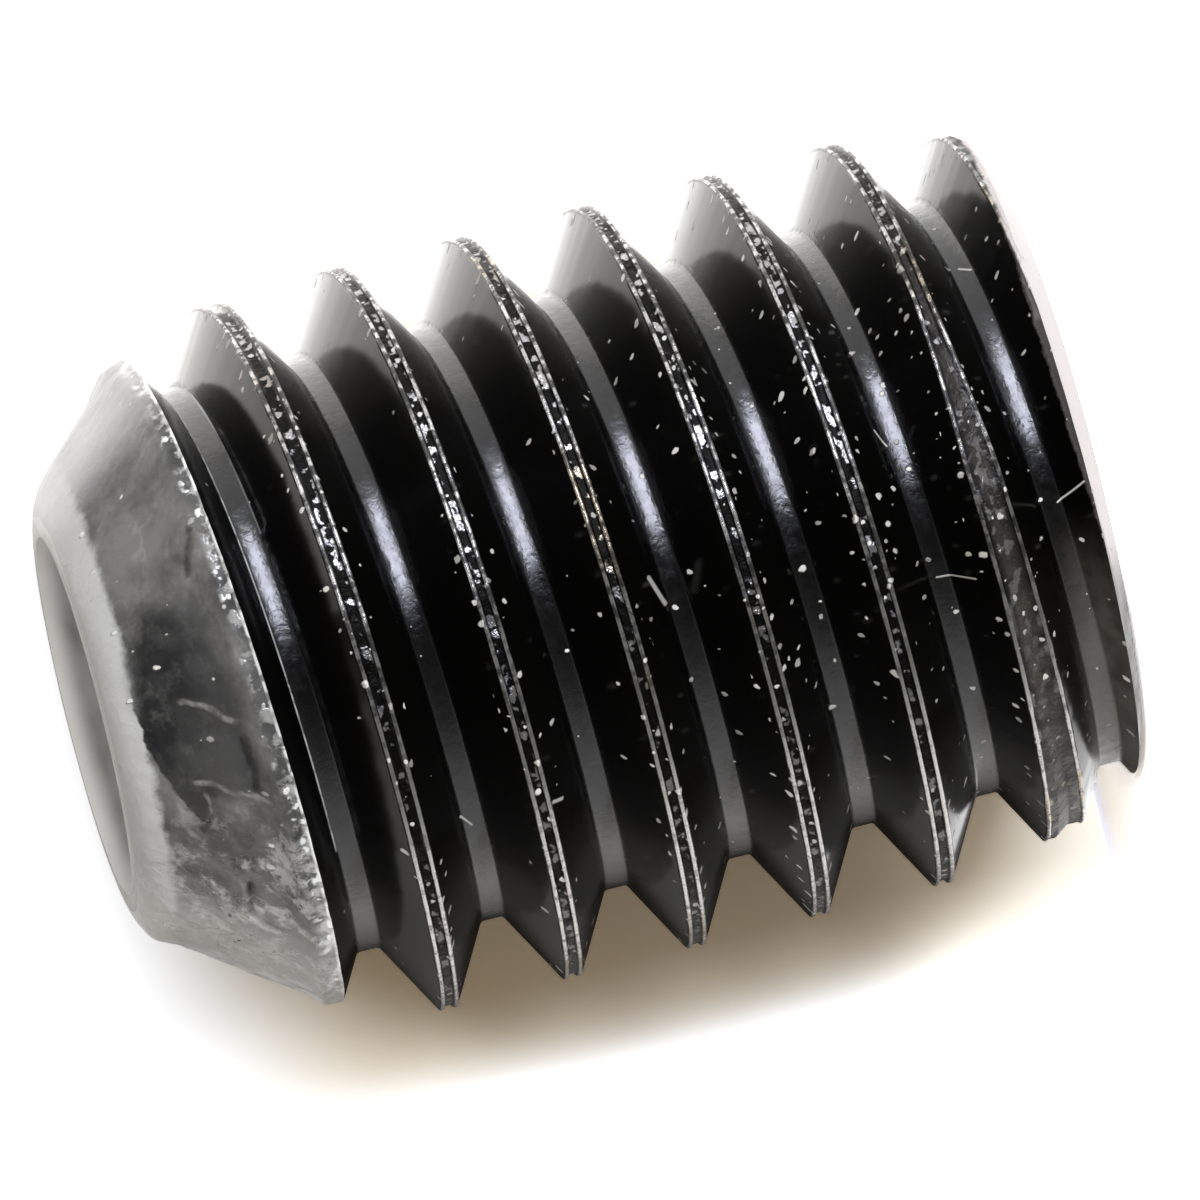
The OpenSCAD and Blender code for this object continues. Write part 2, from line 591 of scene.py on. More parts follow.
def plus(value, *others):
    for other in others:
        value = maths("ADD", value, other)
    return value


def vectorMaths(operation, a, b, output=0):
    return addNode("ShaderNodeVectorMath", {0: a, 1: b}, operation=operation).outputs[output]


def dotProduct(a, b):
    return vectorMaths("DOT_PRODUCT", a, b, "Value")


def ramp(value, fromMin, fromMax, toMin=0.0, toMax=1.0):
    return addNode(
        "ShaderNodeMapRange",
        {"Value": value, "From Min": fromMin, "From Max": fromMax, "To Min": toMin, "To Max": toMax},
        interpolation_type="SMOOTHSTEP",
    ).outputs["Result"]


def mixColours(mask, a, b):
    node = addNode("ShaderNodeMix", {"Factor": mask}, data_type="RGBA")
    for socket, value in ((node.inputs[6], a), (node.inputs[7], b)):
        if isinstance(value, bpy.types.NodeSocket):
            link(value, socket)
        else:
            socket.default_value = (*value, 1)
    return node.outputs[2]


def mixValues(mask, a, b):
    return addNode("ShaderNodeMix", {"Factor": mask, 2: a, 3: b}, data_type="FLOAT").outputs[0]


def newGroup(name, inputs, outputs):
    group = building["tree"] = bpy.data.node_groups.new(name, "ShaderNodeTree")
    for label, default in inputs.items():
        kind = "NodeSocketVector" if isinstance(default, tuple) else "NodeSocketFloat"
        socket = group.interface.new_socket(label, in_out="INPUT", socket_type=kind)
        socket.default_value = default
    for label in outputs:
        group.interface.new_socket(label, in_out="OUTPUT", socket_type="NodeSocketFloat")
    return group, group.nodes.new("NodeGroupInput"), group.nodes.new("NodeGroupOutput")


def useGroup(group, **values):
    return addNode("ShaderNodeGroup", values, node_tree=group)


def placeOf():
    return addNode("ShaderNodeTexCoord").outputs["Object"]


def levelDirection():
    # From the axis straight outwards, at any height
    flat = vectorMaths("MULTIPLY", placeOf(), (1, 1, 0))
    return addNode("ShaderNodeVectorMath", {0: flat}, operation="NORMALIZE").outputs[0]


def noiseValue(scale, detail=3.0, roughness=0.5, stretch=None):
    place = placeOf()
    if stretch:
        place = addNode("ShaderNodeMapping", {"Vector": place, "Scale": stretch}).outputs[0]
    settings = {"Vector": place, "Scale": scale, "Detail": detail, "Roughness": roughness}
    return addNode("ShaderNodeTexNoise", settings).outputs["Fac"]


def patches(noiseSettings, *limits):
    # A soft-edged mask cut from noise
    return ramp(noiseValue(*noiseSettings), *limits)


def paint(colour, *coats):
    # Each coat is a mask and the colour that it lays over the rest
    for mask, coat in coats:
        colour = mixColours(mask, colour, coat)
    return colour


def feed(shader, colour, rough, metallic=None):
    for value, name in ((colour, "Base Color"), (rough, "Roughness"), (metallic, "Metallic")):
        if value:
            link(value, shader.inputs[name])


def makeRoundGroup():
    # Distance from the screw's axis, height, and distance around it at arcRadius, in metres
    group, given, out = newGroup("roundPlace", {"Arc Radius": arcRadius}, ["Radius", "Height", "Arc"])
    x, y, z = addNode("ShaderNodeSeparateXYZ", {"Vector": placeOf()}).outputs
    link(maths("SQRT", plus(times(x, x), times(y, y))), out.inputs["Radius"])
    link(z, out.inputs["Height"])
    link(times(maths("ARCTAN2", y, x), given.outputs["Arc Radius"]), out.inputs["Arc"])
    return group


def laidFlatPlace():
    # The surface unrolled, so that a grain on a steep flank is still round from the side
    spot = useGroup(roundPlace)
    return addNode("ShaderNodeCombineXYZ", {"X": spot.outputs["Arc"], "Y": spot.outputs["Height"]}).outputs[0]


def makeDustGroup():
    # Loose pale grains: a few cells of a cell pattern hold one small grain each
    defaults = {"Scale": 4000, "Amount": 0.12, "Size": 0.16}
    group, given, out = newGroup("dustGrains", defaults, ["Mask", "Tone"])
    flat = laidFlatPlace()
    warp = addNode("ShaderNodeTexNoise", {"Vector": flat, "Scale": 16000.0, "Detail": 2.0})
    centred = vectorMaths("SUBTRACT", warp.outputs["Color"], (0.5, 0.5, 0.5))
    moved = vectorMaths("ADD", flat, vectorMaths("MULTIPLY", centred, (0.045 * mm,) * 3))
    cells = addNode(
        "ShaderNodeTexVoronoi", {"Vector": moved, "Scale": given.outputs["Scale"]},
        voronoi_dimensions="2D", feature="F1",
    )
    parts = addNode("ShaderNodeSeparateColor", {"Color": cells.outputs["Color"]})
    chosen = maths("LESS_THAN", parts.outputs[0], given.outputs["Amount"])
    size = times(given.outputs["Size"], ramp(parts.outputs[1], 0, 1, 0.45, 1.3))
    edge = minus(size, cells.outputs["Distance"])
    grain = ramp(edge, 0.0, 0.05)
    link(times(chosen, grain), out.inputs["Mask"])
    link(parts.outputs[2], out.inputs["Tone"])
    return group


def makeFibreGroup():
    # One fallen fibre, from one place on the laid-flat surface to another
    defaults = {"From": (0.0, 0.0, 0.0), "To": (0.0, 0.001, 0.0), "Width": 0.015 * mm}
    group, given, out = newGroup("fibre", defaults, ["Mask"])
    along = vectorMaths("SUBTRACT", given.outputs["To"], given.outputs["From"])
    reach = vectorMaths("SUBTRACT", laidFlatPlace(), given.outputs["From"])
    share = maths("DIVIDE", dotProduct(reach, along), dotProduct(along, along), clamp=True)
    foot = addNode("ShaderNodeVectorMath", {0: along, "Scale": share}, operation="SCALE").outputs[0]
    gap = vectorMaths("DISTANCE", reach, foot, "Value")
    edge = maths("DIVIDE", gap, given.outputs["Width"])
    link(ramp(edge, 0.5, 1.2, 0.7, 0), out.inputs["Mask"])
    return group


roundPlace = makeRoundGroup()
dustGrains = makeDustGroup()
fibreMark = makeFibreGroup()

# Fallen fibres and slivers: (angle, height) at each end, and half the width, in degrees and millimetres
fibreValues = [
    ((-130, 1.42), (-130.5, 1.16), 0.009), ((-121.5, 0.37), (-118.5, 0.17), 0.009),
    ((-46, 4.13), (-50, 4.2), 0.012), ((-148, 4.76), (-150, 4.66), 0.012), ((-68, 0.58), (-69, 0.5), 0.013),
    ((-155, 5.42), (-158, 5.34), 0.011), ((-116.5, 3.62), (-122, 3.53), 0.022),
    ((-100, 1.62), (-103, 1.55), 0.009),
]


def fibres():
    mask = 0.0
    for start, end, width in fibreValues:
        ends = [(radians(angle) * arcRadius, height * mm, 0.0) for angle, height in (start, end)]
        node = useGroup(fibreMark, From=ends[0], To=ends[1], Width=width * mm)
        mask = larger(mask, node.outputs["Mask"])
    return mask


def newFinish(name, ior):
    material = bpy.data.materials.new(name)
    material.use_nodes = True
    building["tree"] = material.node_tree
    shader = material.node_tree.nodes["Principled BSDF"]
    shader.inputs["IOR"].default_value = ior
    return material, shader


def markValue(name):
    return addNode("ShaderNodeAttribute", attribute_name=name).outputs["Fac"]


def bumpInto(shader, height, strength, distance):
    bump = addNode("ShaderNodeBump", {"Height": height, "Strength": strength, "Distance": distance})
    link(bump.outputs["Normal"], shader.inputs["Normal"])


oxideFinish = {
    "black": (0.0016, 0.0014, 0.0013),
    "worn": (0.39, 0.382, 0.378),
    "wornBrown": (0.3, 0.26, 0.2),  # rust-brown stains on worn places and dust
    "edge": (0.42, 0.385, 0.38),  # bare metal around the socket end
    "seam": (0.007, 0.0065, 0.006),  # the groove between the lips
    "film": (0.1, 0.09, 0.081),  # dull dirt on the lower side of the socket end
    "dust": (0.82, 0.81, 0.79),
    "ior": 1.33,
    # roughness of each, and of the roots from their smoothest to their roughest places
    "flankRough": 0.15,
    "rootRough": (0.17, 0.28),
    "filmRough": 0.5,
    "crestRough": 0.3,
    "seamRough": 0.5,
    "wornRough": 0.26,
    "edgeRough": 0.42,
    "dustRough": 0.9,
    "rootRadii": (2.365 * mm, 2.335 * mm),  # between these a flank becomes a root
    "lipFrom": (0.976, 0.993),  # share of the crest's height
    "shadedMiddleChips": 0.4,  # how much of the wear is kept along the middle of the view: the rest is painted shade
    "wideCrest": (1.15 * mm, 0.9 * mm),  # below this height the crest is wide and unfilled
    "edgeSide": -68,  # the side where the bare edge shows most, in degrees
    "edgeHeight": 0.23 * mm,
    "edgeNarrowing": 0.13 * mm,  # towards the ends of the bare edge
    "edgeRagged": 0.07 * mm,
    "edgeFrom": (2.31 * mm, 2.335 * mm),
    "filmHeights": (0.52 * mm, 0.3 * mm),
    "dustyEnd": (4.8 * mm, 1 * mm),  # from this height down there is more dust
    "dustNearEnd": 0.13,
    "dustNearCrests": 0.34,
    "fineDust": {"Scale": 7500, "Size": 0.145},
    "coarseDust": {"Scale": 4500, "Size": 0.11},
    "leastDust": (0.03, 0.01),  # fine and coarse
    "bump": 0.01 * mm,
}
# The roots are glossier than the flanks beside them
rootFinish = {**oxideFinish, "ior": 1.5}


def wornCrests(v, crest, seam, wide):
    # Bare metal on the lips: in beads on the upper side, in whole lines on the lower
    onLip = times(ramp(crest, *v["lipFrom"]), ramp(seam, 0.25, 0.6, 1, 0))
    across = dotProduct(placeOf(), (330, -160, 0))
    upper = ramp(across, -0.55, -0.1)
    beads = patches((10500, 3.0, 0.6), 0.42, 0.6, 0.12, 1)
    lines = patches((9000, 3.0, 0.6), 0.3, 0.5, 0.55, 1)
    chips = mixValues(upper, lines, beads)
    # Painted shade: the bare lips are dimmed along the middle of the view
    shadedMiddle = times(ramp(across, 0.15, -0.02), ramp(across, -0.8, -0.35))
    chips = times(chips, ramp(shadedMiddle, 0, 1, 1, v["shadedMiddleChips"]))
    # small bare islands on the floor of the groove
    islands = patches((10000, 2.0), 0.55, 0.62, 0, 0.7)
    kept = times(mixValues(upper, 0.4, 1.0), ramp(wide, 0, 1, 1, 0.35))
    islands = times(ramp(seam, 0.3, 0.7), islands, kept)
    return larger(times(onLip, chips), islands)


def bareEdge(v, radius, height, facing):
    # Bare metal on the socket end's chamfer, with a ragged inner edge, on one side
    ragged = minus(noiseValue(7000, 4.0, 0.7), 0.5)
    ragged = plus(height, times(ragged, v["edgeRagged"]))
    ragged = plus(ragged, ramp(facing, 1, 0.2, 0, v["edgeNarrowing"]))
    lower = ramp(ragged, v["edgeHeight"], v["edgeHeight"] * 0.82)
    return times(lower, ramp(facing, 0.2, 0.5), ramp(radius, *v["edgeFrom"]))


def threadDust(v, crest, height):
    # More dust near the crests and towards the socket end
    nearEnd = ramp(height, *v["dustyEnd"], 0, v["dustNearEnd"])
    crowded = plus(nearEnd, ramp(crest, 0.6, 0.95, 0, v["dustNearCrests"]))
    fineLeast, coarseLeast = v["leastDust"]
    fine = useGroup(dustGrains, **v["fineDust"], Amount=plus(crowded, fineLeast))
    coarse = useGroup(dustGrains, **v["coarseDust"], Amount=plus(crowded, coarseLeast))
    dust = larger(fine.outputs["Mask"], coarse.outputs["Mask"])
    dust = times(dust, ramp(fine.outputs["Tone"], 0, 1, 0.4, 1))
    return larger(dust, fibres())


def makeThreadFinish(name, v):
    material, shader = newFinish(name, v["ior"])
    radius, height = useGroup(roundPlace).outputs[:2]
    crest, seam = markValue("crest"), markValue("seam")
    wide = ramp(height, *v["wideCrest"])
    worn = wornCrests(v, crest, seam, wide)
    side = radians(v["edgeSide"])
    towardsSide = (cos(side), sin(side), 0)
    facing = dotProduct(levelDirection(), towardsSide)
    bare = bareEdge(v, radius, height, facing)
    dust = threadDust(v, crest, height)
    stain = patches((1000, 2.0), 0.55, 0.68)
    film = times(ramp(height, *v["filmHeights"]), ramp(facing, 0.6, 0.1))
    film = larger(film, times(wide, seam, 0.45))
    film = times(film, patches((3000, 4.0, 0.6), 0.3, 0.6, 0.45, 1))

    wornColour = mixColours(stain, v["worn"], v["wornBrown"])
    dustColour = mixColours(times(stain, 0.6), v["dust"], v["wornBrown"])
    colour = paint(
        v["black"], (seam, v["seam"]), (film, v["film"]), (worn, wornColour), (bare, v["edge"]),
        (dust, dustColour),
    )
    clean = minus(1.0, dust)
    groove = times(seam, minus(1.0, film))
    metallic = times(larger(larger(worn, bare), groove), clean)

    satin = patches((9000, 4.0, 0.65), 0.3, 0.7, *v["rootRough"])
    inRoot = ramp(radius, *v["rootRadii"])
    rough = mixValues(inRoot, v["flankRough"], satin)
    layers = {
        "film": film, "crest": ramp(crest, 0.95, 0.98), "seam": seam, "worn": worn, "edge": bare,
        "dust": dust,
    }
    for kind, mask in layers.items():
        rough = mixValues(mask, rough, v[kind + "Rough"])
    feed(shader, colour, rough, metallic)

    pits = patches((12000, 3.0, 0.6), 0.3, 0.6)
    onCrest = ramp(crest, 0.955, 0.985, 0, 0.8)
    grainy = plus(onCrest, times(inRoot, 0.22), times(seam, 1.5))
    relief = plus(times(pits, grainy), times(dust, 1.6))
    bumpInto(shader, relief, 0.5, v["bump"])
    return material


skinFinish = {
    "grey": (0.071, 0.071, 0.0725),
    "pale": (0.178, 0.178, 0.178),
    "dark": (0.0045, 0.0045, 0.0048),  # thick scale
    "thin": (0.046, 0.046, 0.047),  # thin scale
    "flake": (0.4, 0.4, 0.39),
    # also the colour of the pale scuffs on the lower side, which are partly painted bounce light
    "shoulder": (0.555, 0.565, 0.58),
    # near-white: the ridge's beaded edge, and the painted glow along the upper and lower outline
    "rim": (0.8, 0.81, 0.83),
    # a painted highlight: the near-white ring on the cup's rim
    "cupEdge": (0.88, 0.88, 0.88),
    "dust": (0.8, 0.8, 0.78),
    "ior": 1.27,
    "sheen": 0.7,
    "sheenRough": 0.2,
    "upperSide": (0.9, -0.438, 0),  # across the screw, towards the side that lay uppermost
    "shoulderFrom": (7.62 * mm, 7.7 * mm),
    "shoulderFray": 0.14 * mm,
    "scaleFray": 0.16,
    "crispFrom": (7.22 * mm, 7.42 * mm),  # heights above which the scale's edge is crisp
    "paleTowardsRidge": (7.4 * mm, 7.02 * mm),
    # how strongly each shows
    "scuffsAndBounce": 0.95,
    "pits": 0.7,
    "folds": 0.25,
    "cuts": 0.7,
    "paintedGlowUpper": 0.8,
    "paintedGlowLower": 0.6,
    "rimRadii": (1.605 * mm, 1.565 * mm),
    "rimHeights": (7.865 * mm, 7.88 * mm),
    "grains": {"Scale": 4000, "Amount": 0.17, "Size": 0.1},
    "rough": (0.34, 0.5),
    "brightRough": 0.3,
    "rimRough": 0.2,
    "bump": 0.03 * mm,
}


def scaleOnSkin(v, height, upper, fine):
    # Dark scale and a thinner plate inside it, with an edge that is crisp along the shoulder only
    fray = times(minus(noiseValue(3600, 4.0, 0.7), 0.5), v["scaleFray"])
    scaleEdge = plus(markValue("scale"), fray)
    thinEdge = plus(markValue("thinScale"), fray)
    patchy = patches((2200, 4.0, 0.6), 0.42, 0.6)
    covered = mixColours(times(patchy, 0.6), v["dark"], v["thin"])
    plate = times(ramp(thinEdge, -0.03, 0.07), ramp(patchy, 0, 1, 0.45, 1))
    covered = paint(
        covered, (plate, v["thin"]), (ramp(fine, 0.5, 0.74, 0, 0.28), v["pale"]),
        (ramp(height, *v["paleTowardsRidge"], 0, 0.45), v["grey"]),
    )
    crisp = times(ramp(height, *v["crispFrom"]), ramp(upper, 0.12, -0.12))
    onScale = mixValues(crisp, ramp(scaleEdge, -0.11, 0.15), ramp(scaleEdge, -0.012, 0.012))
    return onScale, covered, fray


def makeSkinFinish(v):
    material, shader = newFinish("pointSkin", v["ior"])
    shader.inputs["Sheen Weight"].default_value = v["sheen"]
    shader.inputs["Sheen Roughness"].default_value = v["sheenRough"]
    radius, height = useGroup(roundPlace).outputs[:2]
    broad = noiseValue(1300, 4.0, 0.62)
    fine = noiseValue(5200, 5.0, 0.68)
    colour = mixColours(ramp(broad, 0.36, 0.64), v["grey"], v["pale"])

    # rougher on the lower side: small dark pits, and pale scuffs that are partly painted light, as if bounced
    # up from the pale sheet below
    lower = ramp(dotProduct(placeOf(), (-400, 200, 0)), 0.2, 0.85)
    scuffsAndBounce = patches((3300, 5.0, 0.72), 0.47, 0.62)
    pits = times(patches((4600, 4.0, 0.7), 0.46, 0.36), lower)
    frayed = plus(height, times(minus(fine, 0.5), v["shoulderFray"]))
    # thin crumpled lines, where the skin has folded
    folds = maths("ABSOLUTE", minus(noiseValue(2100, 3.0, 0.6), 0.5))
    folds = times(ramp(folds, 0.0, 0.04, 1, 0), ramp(broad, 0.45, 0.65))
    upper = dotProduct(levelDirection(), v["upperSide"])
    onScale, covered, fray = scaleOnSkin(v, height, upper, fine)
    flake = times(ramp(markValue("flake"), 0.35, 1.0, 0, 0.75), patches((6000, 3.0), 0.35, 0.6, 0.15, 0.7))
    cutEdge = plus(markValue("groove"), times(fray, 1.1))

    # the raised first crest: bare flecks, and a beaded line along its edge
    edge = markValue("edge")
    ridge = ramp(edge, 0.17, 0.06)
    flecks = patches((7500, 3.0, 0.6, (1, 1, 0.8)), 0.47, 0.6)
    peaks = patches((9000, 2.0), 0.58, 0.66)
    edgeLine = times(ramp(edge, 0.034, 0.014), patches((8000, 2.0), 0.4, 0.58, 0.12, 1))
    bright = larger(times(ridge, larger(flecks, peaks)), edgeLine)

    # the cup's rim, painted near-white as a highlight
    onRim = times(ramp(radius, *v["rimRadii"]), ramp(height, *v["rimHeights"]))
    grains = useGroup(dustGrains, **v["grains"])
    dust = times(grains.outputs["Mask"], ramp(grains.outputs["Tone"], 0, 1, 0.3, 1))
    colour = paint(
        colour,
        (ramp(fine, 0.42, 0.7, 0, 0.45), v["pale"]),
        # pale scuffs on the lower side: partly wear, partly painted bounce light
        (times(scuffsAndBounce, lower, v["scuffsAndBounce"]), v["shoulder"]),
        (times(pits, v["pits"]), v["thin"]),
        (ramp(frayed, *v["shoulderFrom"], 0, 0.9), v["shoulder"]),
        (times(folds, v["folds"]), v["flake"]),
        (onScale, covered),
        (flake, v["flake"]),
        # painted shade in the cuts under the flakes
        (ramp(cutEdge, 0.25, 0.95, 0, v["cuts"]), v["dark"]),
        (times(ridge, 0.35), v["dark"]),
        (bright, v["flake"]),
        (larger(edgeLine, times(ridge, peaks)), v["rim"]),
        # painted light: pale near its upper and lower outline in the view, standing in for bright reflections
        # there, and a painted highlight on the cup's rim
        (ramp(upper, 0.76, 0.96, 0, v["paintedGlowUpper"]), v["rim"]),
        (ramp(upper, -0.68, -0.96, 0, v["paintedGlowLower"]), v["rim"]),
        (onRim, v["cupEdge"]),
        (dust, v["dust"]),
    )
    metallic = larger(times(bright, 0.4), times(onRim, 0.3))
    rough = mixValues(bright, ramp(fine, 0.3, 0.7, *v["rough"]), v["brightRough"])
    feed(shader, colour, mixValues(onRim, rough, v["rimRough"]), metallic)
    relief = plus(
        noiseValue(2400, 5.0, 0.68), times(onScale, 0.3), times(folds, 0.15), times(bright, 0.2),
        times(pits, -0.4), times(dust, 0.8),
    )
    bumpInto(shader, relief, 0.8, v["bump"])
    return material


cupFinish = {
    "grey": (0.2, 0.204, 0.21),
    "pale": (0.34, 0.346, 0.355),
    # paler towards the rim inside the cup: a painted highlight along the rim's inner edge
    "edge": (0.85, 0.86, 0.88),
    "edgeRadii": (1.12 * mm, 1.42 * mm),
    "ior": 1.38,
    "rough": (0.3, 0.45),
    "bump": 0.008 * mm,
}


def makeCupFinish(v):
    material, shader = newFinish("cupSteel", v["ior"])
    cloud = patches((1500, 3.0), 0.35, 0.7)
    nearEdge = ramp(useGroup(roundPlace).outputs["Radius"], *v["edgeRadii"])
    # painted highlight: the cup wall turns near-white towards its rim
    colour = paint(v["grey"], (cloud, v["pale"]), (nearEdge, v["edge"]))
    feed(shader, colour, ramp(cloud, 0, 1, *v["rough"]))
    bumpInto(shader, noiseValue(6000, 3.0), 0.3, v["bump"])
    return material


socketFinish = {
    "black": (0.02, 0.02, 0.021),
    "worn": (0.07, 0.07, 0.07),
    "ior": 1.8,
    "rough": (0.28, 0.45),
    "bump": 0.01 * mm,
}


def makeSocketFinish(v):
    material, shader = newFinish("socketOxide", v["ior"])
    streak = patches((2500, 4.0, 0.6, (1, 1, 0.15)), 0.4, 0.75)
    feed(shader, mixColours(streak, v["black"], v["worn"]), ramp(streak, 0, 1, *v["rough"]))
    bumpInto(shader, streak, 0.4, v["bump"])
    return material


def giveFinish(obj, material, belongs):
    # Gives the finish to the faces that belong, by their place and normal
    makeActive(obj)
    obj.data.materials.append(material)
    obj.active_material_index = len(obj.data.materials) - 1
    setMode("EDIT")
    bpy.ops.mesh.select_mode(type="FACE")
    bpy.ops.mesh.select_all(action="DESELECT")
    setMode("OBJECT")
    for face in obj.data.polygons:
        face.select = belongs(face.center / mm, face.normal)
    setMode("EDIT")
    bpy.ops.object.material_slot_assign()
    setMode("OBJECT")


def outwardness(centre, normal):
    # How far a face looks away from the axis, from 1 outwards to -1 inwards
    flat = Vector((centre.x, centre.y))
    return flat.normalized().dot(Vector((normal.x, normal.y))) if flat.length > 0 else 0


def onPoint(centre, normal):
    # The worn cone, its ridge and the shoulder, but none of the thread's own flanks and roots
    if centre.z < 6.42 or hypot(centre.x, centre.y) < pointValues["cupRadius"]:
        return False
    v = threadValues
    crestHeight, radius = crestNear(centre)
    flank = v["crestWidth"] / 2 + (crestRadius - radius) * tan(radians(v["flankAngle"]))
    fromCrest = abs(crestHeight - centre.z)
    flankTilt = cos(radians(v["flankAngle"]))
    onFlank = (
        abs(fromCrest - flank) < v["flankTolerance"] and abs(abs(normal.z) - flankTilt) < 0.03
        and (normal.z > 0) == (centre.z > crestHeight)
    )
    onRoot = radius < v["rootRadius"] + 0.045 and abs(normal.z) < 0.3 and fromCrest > flank - 0.05
    onCrest = radius > crestRadius - 0.09 and fromCrest < 0.1
    return outwardness(centre, normal) > -0.05 and not (onFlank or onRoot or onCrest)


def onRootBand(centre, normal):
    nearRoot = hypot(centre.x, centre.y) < threadValues["rootRadius"] + 0.03
    return nearRoot and outwardness(centre, normal) > 0.55


def inCup(centre, normal):
    return centre.z > screwLength - 1 and outwardness(centre, normal) < -0.05


def inSocket(centre, normal):
    nearAxis = hypot(centre.x, centre.y) < socketValues["mouthRadius"] + 0.01
    return nearAxis and centre.z < screwLength / 2 + 1


def crispBorder(obj, finish):
    # Edges between this finish and the others are shaded sharp
    index = obj.data.materials.find(finish)
    finishesAtEdge = {}
    for face in obj.data.polygons:
        for key in face.edge_keys:
            finishesAtEdge.setdefault(key, set()).add(face.material_index == index)
    for edge in obj.data.edges:
        if len(finishesAtEdge[edge.key]) > 1:
            edge.use_edge_sharp = True


screw.data.materials.clear()
giveFinish(screw, makeThreadFinish("blackOxideThread", oxideFinish), lambda centre, normal: True)
giveFinish(screw, makeThreadFinish("blackOxideRoot", rootFinish), onRootBand)
giveFinish(screw, makeSkinFinish(skinFinish), onPoint)
giveFinish(screw, makeCupFinish(cupFinish), inCup)
giveFinish(screw, makeSocketFinish(socketFinish), inSocket)
crispBorder(screw, "pointSkin")
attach(screw, "root")
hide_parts("set_screw")
print("finishes given")


cameraValues = {
    "azimuth": -25.8,
    "elevation": 6.3,
    "roll": -104.06,
    "distance": 250 * mm,
    "seenWidth": 9.36 * mm,  # width of the view at the screw
    "aimHeight": 3.8615 * mm,
    "aimRight": 0.125 * mm,
    "aimUp": -0.0757 * mm,
    "clip": (0.01, 10),
}


def viewAxes(v):
    azimuth, elevation, roll = (radians(v[key]) for key in ("azimuth", "elevation", "roll"))
    back = Vector((
        sin(azimuth) * cos(elevation),
        -cos(azimuth) * cos(elevation),
        sin(elevation),
    ))
    level = Vector((cos(azimuth), sin(azimuth), 0))
    upright = back.cross(level)
    right = level * cos(roll) + upright * sin(roll)
    up = upright * cos(roll) - level * sin(roll)
    return right, up, back


right, up, back = viewAxes(cameraValues)
sideways = Vector((up.x, up.y, 0)).normalized()  # across the screw, towards the top of the view


def makeCamera(v):
    data = bpy.data.cameras.new("camera")
    data.lens = data.sensor_width * v["distance"] / v["seenWidth"]
    data.clip_start, data.clip_end = v["clip"]
    camera = bpy.data.objects.new("camera", data)
    bpy.context.scene.collection.objects.link(camera)
    place = Vector((0, 0, v["aimHeight"])) + right * v["aimRight"] + up * v["aimUp"] + back * v["distance"]
    turn = Matrix((right, up, back)).transposed().to_4x4()
    camera.matrix_world = Matrix.Translation(place) @ turn
    bpy.context.scene.camera = camera


makeCamera(cameraValues)


# A floor that the screw stands on, and a pale sheet close behind it
stageValues = {
    "plain": (0.6, 0.6, 0.6),  # how the paper lights its surroundings
    "mirrored": (2.3, 2.26, 2.22),  # how gloss shows it
    # less of it below the screw, a painted soft shade on the sheet as gloss sees it: (distance below the
    # axis, share)
    "mirroredBelow": [(-2.4 * mm, 1), (-1 * mm, 0.06), (3 * mm, 0.06), (9.5 * mm, 0.76)],
    "sheetSeen": (1.78, 1.84, 1.96),  # how the sheet looks
    "sheetFar": (9.0, 10.0, 13.0),  # and far from the screw, where less light reaches it
    "farAway": (6 * mm, 20 * mm),
    "sheetShade": (1.5, 1.37, 1.17),  # and close under the screw: a painted warm shade, darker than the rest
    # where that is: distance from the axis, and height
    "shadeBeside": (4.0 * mm, 3.2 * mm),
    "shadeHeight": (7.6 * mm, 5.8 * mm),
    "sheetLow": (2.5, 2.39, 2.2),  # near the floor: painted light filling the shade there, so it meets the floor without a line
    "lowHeight": (2.3 * mm, 0.8 * mm),
    "floorSeen": (5.4, 5.5, 5.8),
    "floorBehind": (4.0, 5.6, 11.0),  # behind the sheet, where only the warm room lights it
    "behindSheet": (2 * mm, 4 * mm),
    "floorSize": 0.6,
    "sheetGap": 0.01 * mm,
}


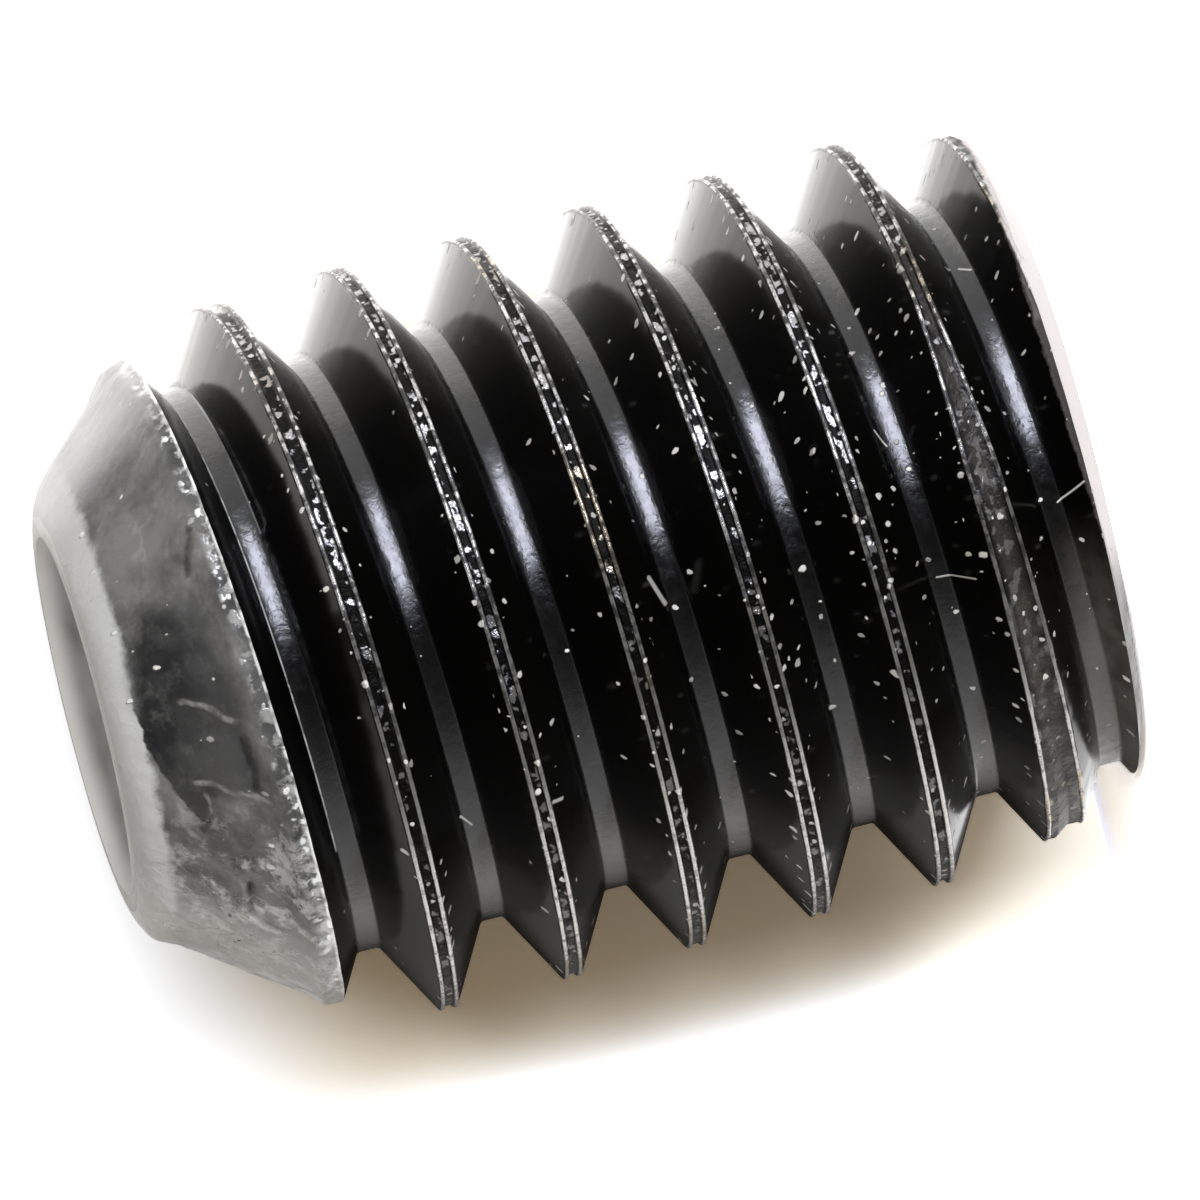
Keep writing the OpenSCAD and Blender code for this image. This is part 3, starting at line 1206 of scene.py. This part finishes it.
def makeStageFinish(name, v, isSheet):
    material = bpy.data.materials.new(name)
    material.use_nodes = True
    tree = building["tree"] = material.node_tree
    tree.nodes.remove(tree.nodes["Principled BSDF"])
    paths = addNode("ShaderNodeLightPath")
    facing = addNode("ShaderNodeNewGeometry")
    place = facing.outputs["Position"]
    below = dotProduct(place, tuple(-sideways))
    height = addNode("ShaderNodeSeparateXYZ", {0: place}).outputs[2]
    if isSheet:
        beside = maths("ABSOLUTE", below)
        # painted warm shade on the sheet close under the screw
        shade = times(ramp(beside, *v["shadeBeside"]), ramp(height, *v["shadeHeight"]))
        # the sheet is painted lighter near the floor: painted light that fills the shade
        seen = paint(
            v["sheetSeen"], (shade, v["sheetShade"]), (ramp(height, *v["lowHeight"]), v["sheetLow"]),
            (ramp(beside, *v["farAway"]), v["sheetFar"]),
        )
    else:
        distance = dotProduct(place, (-back.x, -back.y, 0))
        seen = mixColours(ramp(distance, *v["behindSheet"]), v["floorSeen"], v["floorBehind"])
    colour = mixColours(paths.outputs["Is Camera Ray"], v["plain"], seen)
    above, screwTop, screwFoot, farBelow = v["mirroredBelow"]
    # painted shade: gloss sees the sheet darker below the screw
    share = larger(
        ramp(below, above[0], screwTop[0], above[1], screwTop[1]),
        ramp(below, screwFoot[0], farBelow[0], screwFoot[1], farBelow[1]),
    )
    mirrored = mixColours(share, (0.0, 0.0, 0.0), v["mirrored"])
    colour = mixColours(paths.outputs["Is Glossy Ray"], colour, mirrored)
    paper = addNode("ShaderNodeBsdfDiffuse", {"Color": colour})
    clear = addNode("ShaderNodeBsdfTransparent")
    through = larger(paths.outputs["Is Shadow Ray"], facing.outputs["Backfacing"])
    if not isSheet:  # gloss passes through the floor
        through = larger(through, paths.outputs["Is Glossy Ray"])
    final = addNode("ShaderNodeMixShader", {0: through, 1: paper.outputs[0], 2: clear.outputs[0]})
    link(final.outputs[0], tree.nodes["Material Output"].inputs["Surface"])
    return material


def makeStage(v):
    deselectAll()
    bpy.ops.mesh.primitive_plane_add(size=v["floorSize"], location=(0, 0, 0))
    floor = bpy.context.object
    floor.name = "floor"
    floor.data.materials.append(makeStageFinish("floorPaper", v, False))
    deselectAll()
    azimuth = radians(cameraValues["azimuth"])
    behind = crestRadius * mm + v["sheetGap"]
    bpy.ops.mesh.primitive_plane_add(
        size=v["floorSize"], rotation=(radians(90), 0, azimuth),
        location=(-sin(azimuth) * behind, cos(azimuth) * behind, v["floorSize"] / 2),
    )
    sheet = bpy.context.object
    sheet.name = "backSheet"
    sheet.data.materials.append(makeStageFinish("sheetPaper", v, True))


makeStage(stageValues)


lightValues = {
    "lampDistance": 90 * mm,
    # angle from the camera towards the top of the view, tilt towards the cup, width around and along the
    # screw, power, colour, and whether the lamp shows in gloss or lights the surfaces
    "glossLamp": (35, 0, 60 * mm, 28 * mm, 0.12, (0.82, 0.85, 1.0), True),
    "softLamp": (13, 9.5, 14 * mm, 108 * mm, 0.096, (0.94, 0.97, 1.0), False),
    "roomDiffuse": (0.19, 0.135, 0.065),  # what the room adds to surfaces: warm, so that shade is warm
    # what gloss finds in the room, by the angle away from the camera's side: (degrees, strength)
    "roomInGloss": [(0, 0.03), (20, 0.1), (40, 0.34), (60, 1.15), (80, 1.6), (100, 1.8), (180, 2.2)],
}


def makeLamp(name, v):
    angle, tilt, width, height, power, colour, inGloss = v[name]
    angle, tilt = radians(angle), radians(tilt)
    # The roots mirror what lies as far below the socket end as the camera is above it
    mirrored = Vector((back.x, back.y, -back.z))
    direction = mirrored * cos(angle) + sideways * sin(angle)
    direction = (direction * cos(tilt) + Vector((0, 0, sin(tilt)))).normalized()
    data = bpy.data.lights.new(name, "AREA")
    data.shape = "RECTANGLE"
    data.size = width
    data.size_y = height
    data.energy = power
    data.color = colour
    lamp = bpy.data.objects.new(name, data)
    bpy.context.scene.collection.objects.link(lamp)
    lamp.location = Vector((0, 0, screwLength * mm / 2)) + direction * v["lampDistance"]
    lamp.rotation_euler = direction.to_track_quat("Z", "Y").to_euler()
    lamp.visible_glossy = inGloss
    lamp.visible_diffuse = not inGloss


def makeRoom(v):
    world = bpy.data.worlds.new("room")
    bpy.context.scene.world = world
    world.use_nodes = True
    building["tree"] = world.node_tree
    background = world.node_tree.nodes["Background"]
    paths = addNode("ShaderNodeLightPath")
    shadeDirection = Vector((back.x, back.y, 0)).normalized()
    direction = addNode("ShaderNodeTexCoord").outputs["Generated"]
    towards = dotProduct(direction, tuple(shadeDirection))
    angle = maths("DIVIDE", maths("ARCCOSINE", towards), pi)
    fade = addNode("ShaderNodeValToRGB", {"Fac": angle})
    stops = fade.color_ramp.elements
    for i, (away, strength) in enumerate(v["roomInGloss"]):
        stop = stops[i] if i < len(stops) else stops.new(away / 180)
        stop.position = away / 180
        stop.color = (strength, strength, strength, 1)
    light = mixColours(paths.outputs["Is Glossy Ray"], v["roomDiffuse"], fade.outputs["Color"])
    light = mixColours(paths.outputs["Is Camera Ray"], light, (1.0, 1.0, 1.0))
    link(light, background.inputs["Color"])
    background.inputs["Strength"].default_value = 1.0


for lampName in ("glossLamp", "softLamp"):
    makeLamp(lampName, lightValues)
makeRoom(lightValues)
bpy.context.scene.view_settings.view_transform = "Standard"
print("stage and light set")
